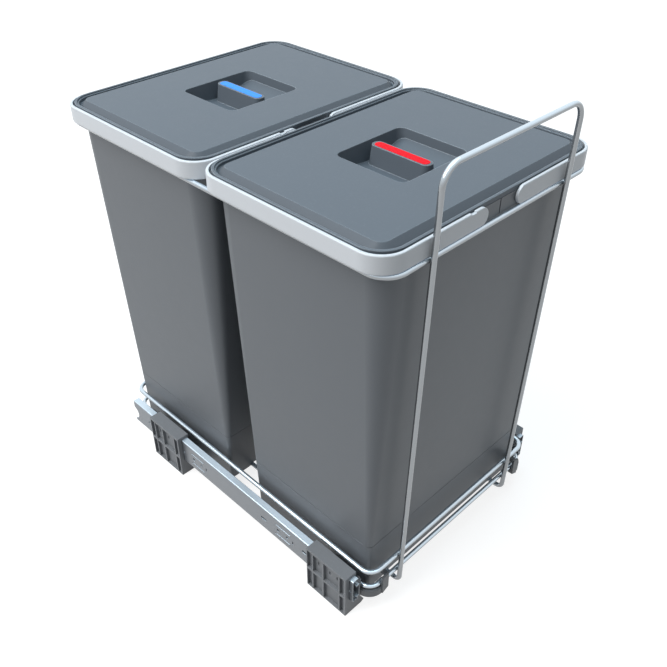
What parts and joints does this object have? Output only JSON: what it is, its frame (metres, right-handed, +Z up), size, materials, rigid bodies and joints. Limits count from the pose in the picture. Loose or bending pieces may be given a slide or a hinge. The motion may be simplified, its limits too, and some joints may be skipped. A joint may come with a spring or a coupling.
{
  "type": "pull-out waste bin",
  "caption": "Pull-out waste bin for a base cabinet: two lidded buckets with bails in a wire basket on full-extension ball slides with floor-mounted supports.",
  "frame": {"origin": "middle of the whole object's footprint, on the cabinet floor that the four supports stand on", "axes": "-Y is the pull direction, towards the front handle; +X is to the right for a viewer in front; +Z is up"},
  "size_m": [0.36, 0.5294, 0.5781],
  "materials": {
    "support_plastic": "fine satin grain, dark grey",
    "slide_zinc": "bright zinc plating, satin",
    "ball_steel": "bare steel",
    "wire_chrome": "satin chrome plating",
    "clip_plastic": "dark moulded plastic",
    "rivet_steel": "zinc plated, satin",
    "bucket_plastic": "dark grey, fine grain",
    "lid_plastic": "grey, fine grain",
    "bail_plastic": "light grey, satin",
    "insert_blue": "bright blue, semi-gloss",
    "insert_red": "bright red, semi-gloss",
    "pin_plastic": "dark grey"
  },
  "bodies": {
    "base": {"housing_front_left": "support_plastic", "housing_front_right": "support_plastic", "housing_rear_left": "support_plastic", "housing_rear_right": "support_plastic", "slide_outer_left": "slide_zinc", "slide_outer_right": "slide_zinc", "stop_buffers": "clip_plastic", "housing_screws": "rivet_steel"},
    "carriage": {"slide_inner_left": "slide_zinc", "slide_inner_right": "slide_zinc", "clip_front_left": "clip_plastic", "clip_front_right": "clip_plastic", "clip_rear_left": "clip_plastic", "clip_rear_right": "clip_plastic", "clip_rivets": "rivet_steel", "front_handle": "wire_chrome", "runner_left": "wire_chrome", "runner_right": "wire_chrome", "ring_upper": "wire_chrome", "ring_lower": "wire_chrome", "top_loop": "wire_chrome"},
    "middle_left": {"slide_middle_left": "slide_zinc"},
    "outer_balls_left": {"ball_cage_outer_left": "ball_steel"},
    "inner_balls_left": {"ball_cage_inner_left": "ball_steel"},
    "middle_right": {"slide_middle_right": "slide_zinc"},
    "outer_balls_right": {"ball_cage_outer_right": "ball_steel"},
    "inner_balls_right": {"ball_cage_inner_right": "ball_steel"},
    "bin_front": {"bucket_front": "bucket_plastic", "bucket_rim_front": "bucket_plastic", "bail_pins_front": "pin_plastic"},
    "cover_front": {"lid_front": "lid_plastic", "grip_insert_front": "insert_red"},
    "bail_front_left_swing": {"bail_front_left": "bail_plastic"},
    "bail_front_right_swing": {"bail_front_right": "bail_plastic"},
    "bin_rear": {"bucket_rear": "bucket_plastic", "bucket_rim_rear": "bucket_plastic", "bail_pins_rear": "pin_plastic"},
    "cover_rear": {"lid_rear": "lid_plastic", "grip_insert_rear": "insert_blue"},
    "bail_rear_left_swing": {"bail_rear_left": "bail_plastic"},
    "bail_rear_right_swing": {"bail_rear_right": "bail_plastic"}
  },
  "joints": [
    {"name": "carriage_slide", "type": "slide", "parent": "base", "child": "carriage", "axis": [0, -1, 0], "range_m": [0, 0.44]},
    {"name": "middle_left_slide", "type": "slide", "parent": "base", "child": "middle_left", "axis": [0, -1, 0], "range_m": [0, 0.22]},
    {"name": "outer_balls_left_slide", "type": "slide", "parent": "base", "child": "outer_balls_left", "axis": [0, -1, 0], "range_m": [0, 0.11]},
    {"name": "inner_balls_left_slide", "type": "slide", "parent": "base", "child": "inner_balls_left", "axis": [0, -1, 0], "range_m": [0, 0.33]},
    {"name": "middle_right_slide", "type": "slide", "parent": "base", "child": "middle_right", "axis": [0, -1, 0], "range_m": [0, 0.22]},
    {"name": "outer_balls_right_slide", "type": "slide", "parent": "base", "child": "outer_balls_right", "axis": [0, -1, 0], "range_m": [0, 0.11]},
    {"name": "inner_balls_right_slide", "type": "slide", "parent": "base", "child": "inner_balls_right", "axis": [0, -1, 0], "range_m": [0, 0.33]},
    {"name": "bin_front_lift", "type": "slide", "parent": "carriage", "child": "bin_front", "axis": [0, 0, 1], "range_m": [0, 0.5]},
    {"name": "cover_front_lift", "type": "slide", "parent": "bin_front", "child": "cover_front", "axis": [0, 0, 1], "range_m": [0, 0.09]},
    {"name": "bail_front_left_hinge", "type": "hinge", "parent": "bin_front", "child": "bail_front_left_swing", "pos_m": [-0.03395, -0.12775, 0.49855], "axis": [0, 1, 0], "range_deg": [0, 100]},
    {"name": "bail_front_right_hinge", "type": "hinge", "parent": "bin_front", "child": "bail_front_right_swing", "pos_m": [0.03395, -0.12775, 0.49855], "axis": [0, -1, 0], "range_deg": [0, 100]},
    {"name": "bin_rear_lift", "type": "slide", "parent": "carriage", "child": "bin_rear", "axis": [0, 0, 1], "range_m": [0, 0.5]},
    {"name": "cover_rear_lift", "type": "slide", "parent": "bin_rear", "child": "cover_rear", "axis": [0, 0, 1], "range_m": [0, 0.09]},
    {"name": "bail_rear_left_hinge", "type": "hinge", "parent": "bin_rear", "child": "bail_rear_left_swing", "pos_m": [-0.03395, 0.12975, 0.49855], "axis": [0, 1, 0], "range_deg": [0, 100]},
    {"name": "bail_rear_right_hinge", "type": "hinge", "parent": "bin_rear", "child": "bail_rear_right_swing", "pos_m": [0.03395, 0.12975, 0.49855], "axis": [0, -1, 0], "range_deg": [0, 100]}
  ],
  "couplings": [
    {"joint": "middle_left_slide", "follows": "carriage_slide", "ratio": 0.5},
    {"joint": "outer_balls_left_slide", "follows": "carriage_slide", "ratio": 0.25},
    {"joint": "inner_balls_left_slide", "follows": "carriage_slide", "ratio": 0.75},
    {"joint": "middle_right_slide", "follows": "carriage_slide", "ratio": 0.5},
    {"joint": "outer_balls_right_slide", "follows": "carriage_slide", "ratio": 0.25},
    {"joint": "inner_balls_right_slide", "follows": "carriage_slide", "ratio": 0.75}
  ]
}
